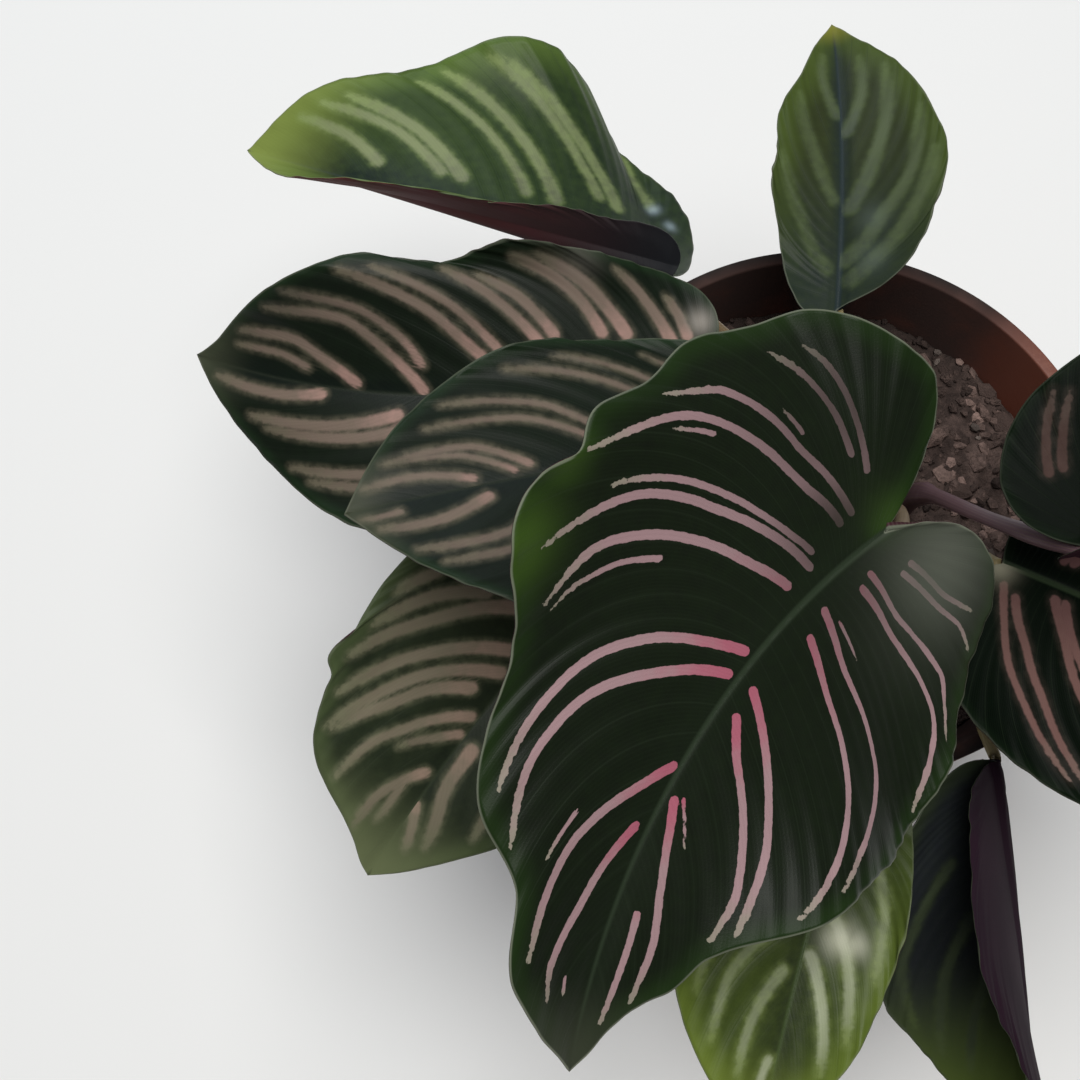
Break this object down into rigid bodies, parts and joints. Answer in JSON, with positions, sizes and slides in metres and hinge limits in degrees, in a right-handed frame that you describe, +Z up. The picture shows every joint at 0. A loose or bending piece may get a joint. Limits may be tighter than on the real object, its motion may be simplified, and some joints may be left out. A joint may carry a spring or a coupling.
{
  "type": "potted foliage plant",
  "caption": "Pinstripe calathea in a round nursery pot: broad waved leaves striped pink on dark green, on slim stalks that stand in the soil",
  "frame": {"origin": "centre of the pot's underside, which is the plane the pot rests on", "axes": "+Z up out of the pot's underside, -Y towards the viewer of the picture, +X to the right"},
  "size_m": [0.2876, 0.2949, 0.2603],
  "materials": {
    "pot_plastic": "satin",
    "soil": "matte",
    "mature_blade": "satin",
    "young_blade": "satin",
    "stalk_skin": "satin"
  },
  "bodies": {
    "root": {"pot": "pot_plastic", "soil": "soil", "leaf_front": "mature_blade", "leaf_back_left": "young_blade", "leaf_back": "young_blade", "leaf_left_upper": "mature_blade", "leaf_left_middle": "mature_blade", "leaf_left_lower": "mature_blade", "leaf_front_young": "young_blade", "leaf_front_right": "mature_blade", "leaf_right_lower": "mature_blade", "leaf_right_upper": "mature_blade", "stalk_front": "stalk_skin", "stalk_back_left": "stalk_skin", "stalk_back": "stalk_skin", "stalk_left_upper": "stalk_skin", "stalk_left_middle": "stalk_skin", "stalk_left_lower": "stalk_skin", "stalk_front_young": "stalk_skin", "stalk_front_right": "stalk_skin", "stalk_right_lower": "stalk_skin", "stalk_right_upper": "stalk_skin"}
  },
  "joints": []
}
